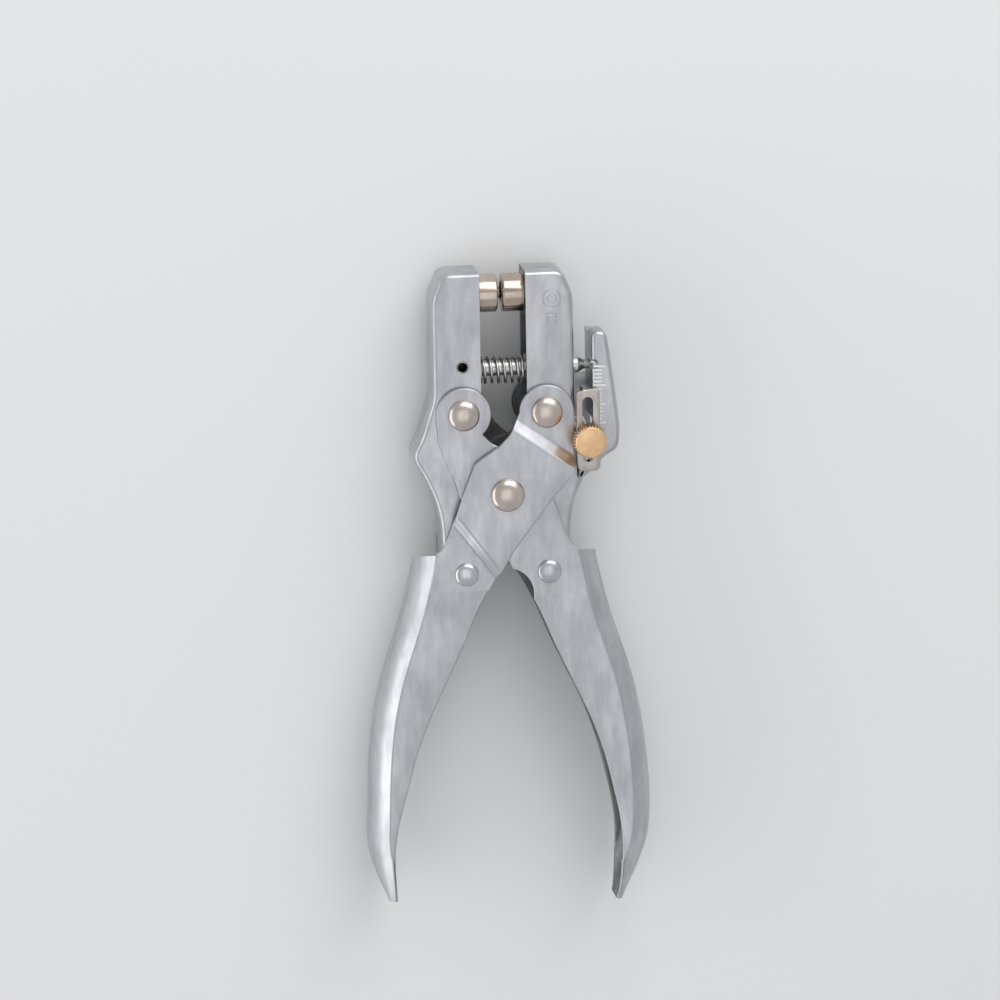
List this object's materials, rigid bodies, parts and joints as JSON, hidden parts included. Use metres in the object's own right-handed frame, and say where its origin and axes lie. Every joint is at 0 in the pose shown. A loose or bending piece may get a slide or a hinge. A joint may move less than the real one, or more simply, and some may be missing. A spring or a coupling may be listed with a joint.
{
  "type": "eyelet pliers",
  "caption": "Eyelet setting pliers with parallel jaws, crossed channel handles, a return spring on a guide rod and an adjustable stop with a millimetre scale.",
  "frame": {"origin": "centre pivot axis, at the rear face of the centre rivet, which is the lowest face", "axes": "+Y from the pivot to the jaw tips, +X to the jaw that carries the scale arm, +Z out of the front face"},
  "size_m": [0.0754, 0.1713, 0.0272],
  "materials": {
    "zinc_plated_steel": "zinc plated, lightly mottled satin",
    "nickel_plate": "polished nickel",
    "bright_steel": "bright turned steel",
    "brass": "satin turned brass"
  },
  "bodies": {
    "left_handle": {"left_handle": "zinc_plated_steel", "upper_right_rivet": "nickel_plate", "lower_left_rivet": "nickel_plate", "lower_left_roller": "bright_steel", "pivot_rivet": "nickel_plate", "pivot_sleeve": "bright_steel"},
    "right_handle": {"right_handle": "zinc_plated_steel", "upper_left_rivet": "nickel_plate", "lower_right_rivet": "nickel_plate", "lower_right_roller": "bright_steel"},
    "right_jaw": {"right_jaw": "zinc_plated_steel", "right_die_holder": "bright_steel", "right_die": "nickel_plate", "guide_bush": "bright_steel", "scale_arm": "zinc_plated_steel", "jaw_spring": "bright_steel"},
    "left_jaw": {"left_jaw": "zinc_plated_steel", "left_die_holder": "bright_steel", "left_die": "nickel_plate", "guide_rod": "bright_steel", "rod_roll_pin": "bright_steel"},
    "stop": {"stop_plate": "nickel_plate"},
    "thumb_screw": {"thumb_screw": "brass"}
  },
  "joints": [
    {"name": "handle_open", "type": "hinge", "parent": "left_handle", "child": "right_handle", "pos_m": [0, 0, 0.0119], "axis": [0, 0, 1], "range_deg": [-1.2, 20], "stiffness_Nm_per_rad": 0.64, "springref_deg": 18.91},
    {"name": "right_jaw_pivot", "type": "hinge", "parent": "left_handle", "child": "right_jaw", "pos_m": [0.011, 0.0214, 0.0119], "axis": [0, 0, 1], "range_deg": [-0.61, 10.01]},
    {"name": "left_jaw_slide", "type": "slide", "parent": "right_jaw", "child": "left_jaw", "axis": [-1, 0, 0], "range_m": [-0.00044, 0.00717], "deforming": ["jaw_spring"]},
    {"name": "stop_slide", "type": "slide", "parent": "right_jaw", "child": "stop", "axis": [0, 1, 0], "range_m": [-0.008, 0.0048]},
    {"name": "thumb_screw_turn", "type": "hinge", "parent": "right_jaw", "child": "thumb_screw", "pos_m": [0.0218, 0.014, 0.0119], "axis": [0, 0, 1], "continuous": true}
  ],
  "couplings": [
    {"joint": "right_jaw_pivot", "follows": "handle_open", "ratio": 0.5},
    {"joint": "left_jaw_slide", "follows": "handle_open", "m_per_rad": 0.0205}
  ]
}
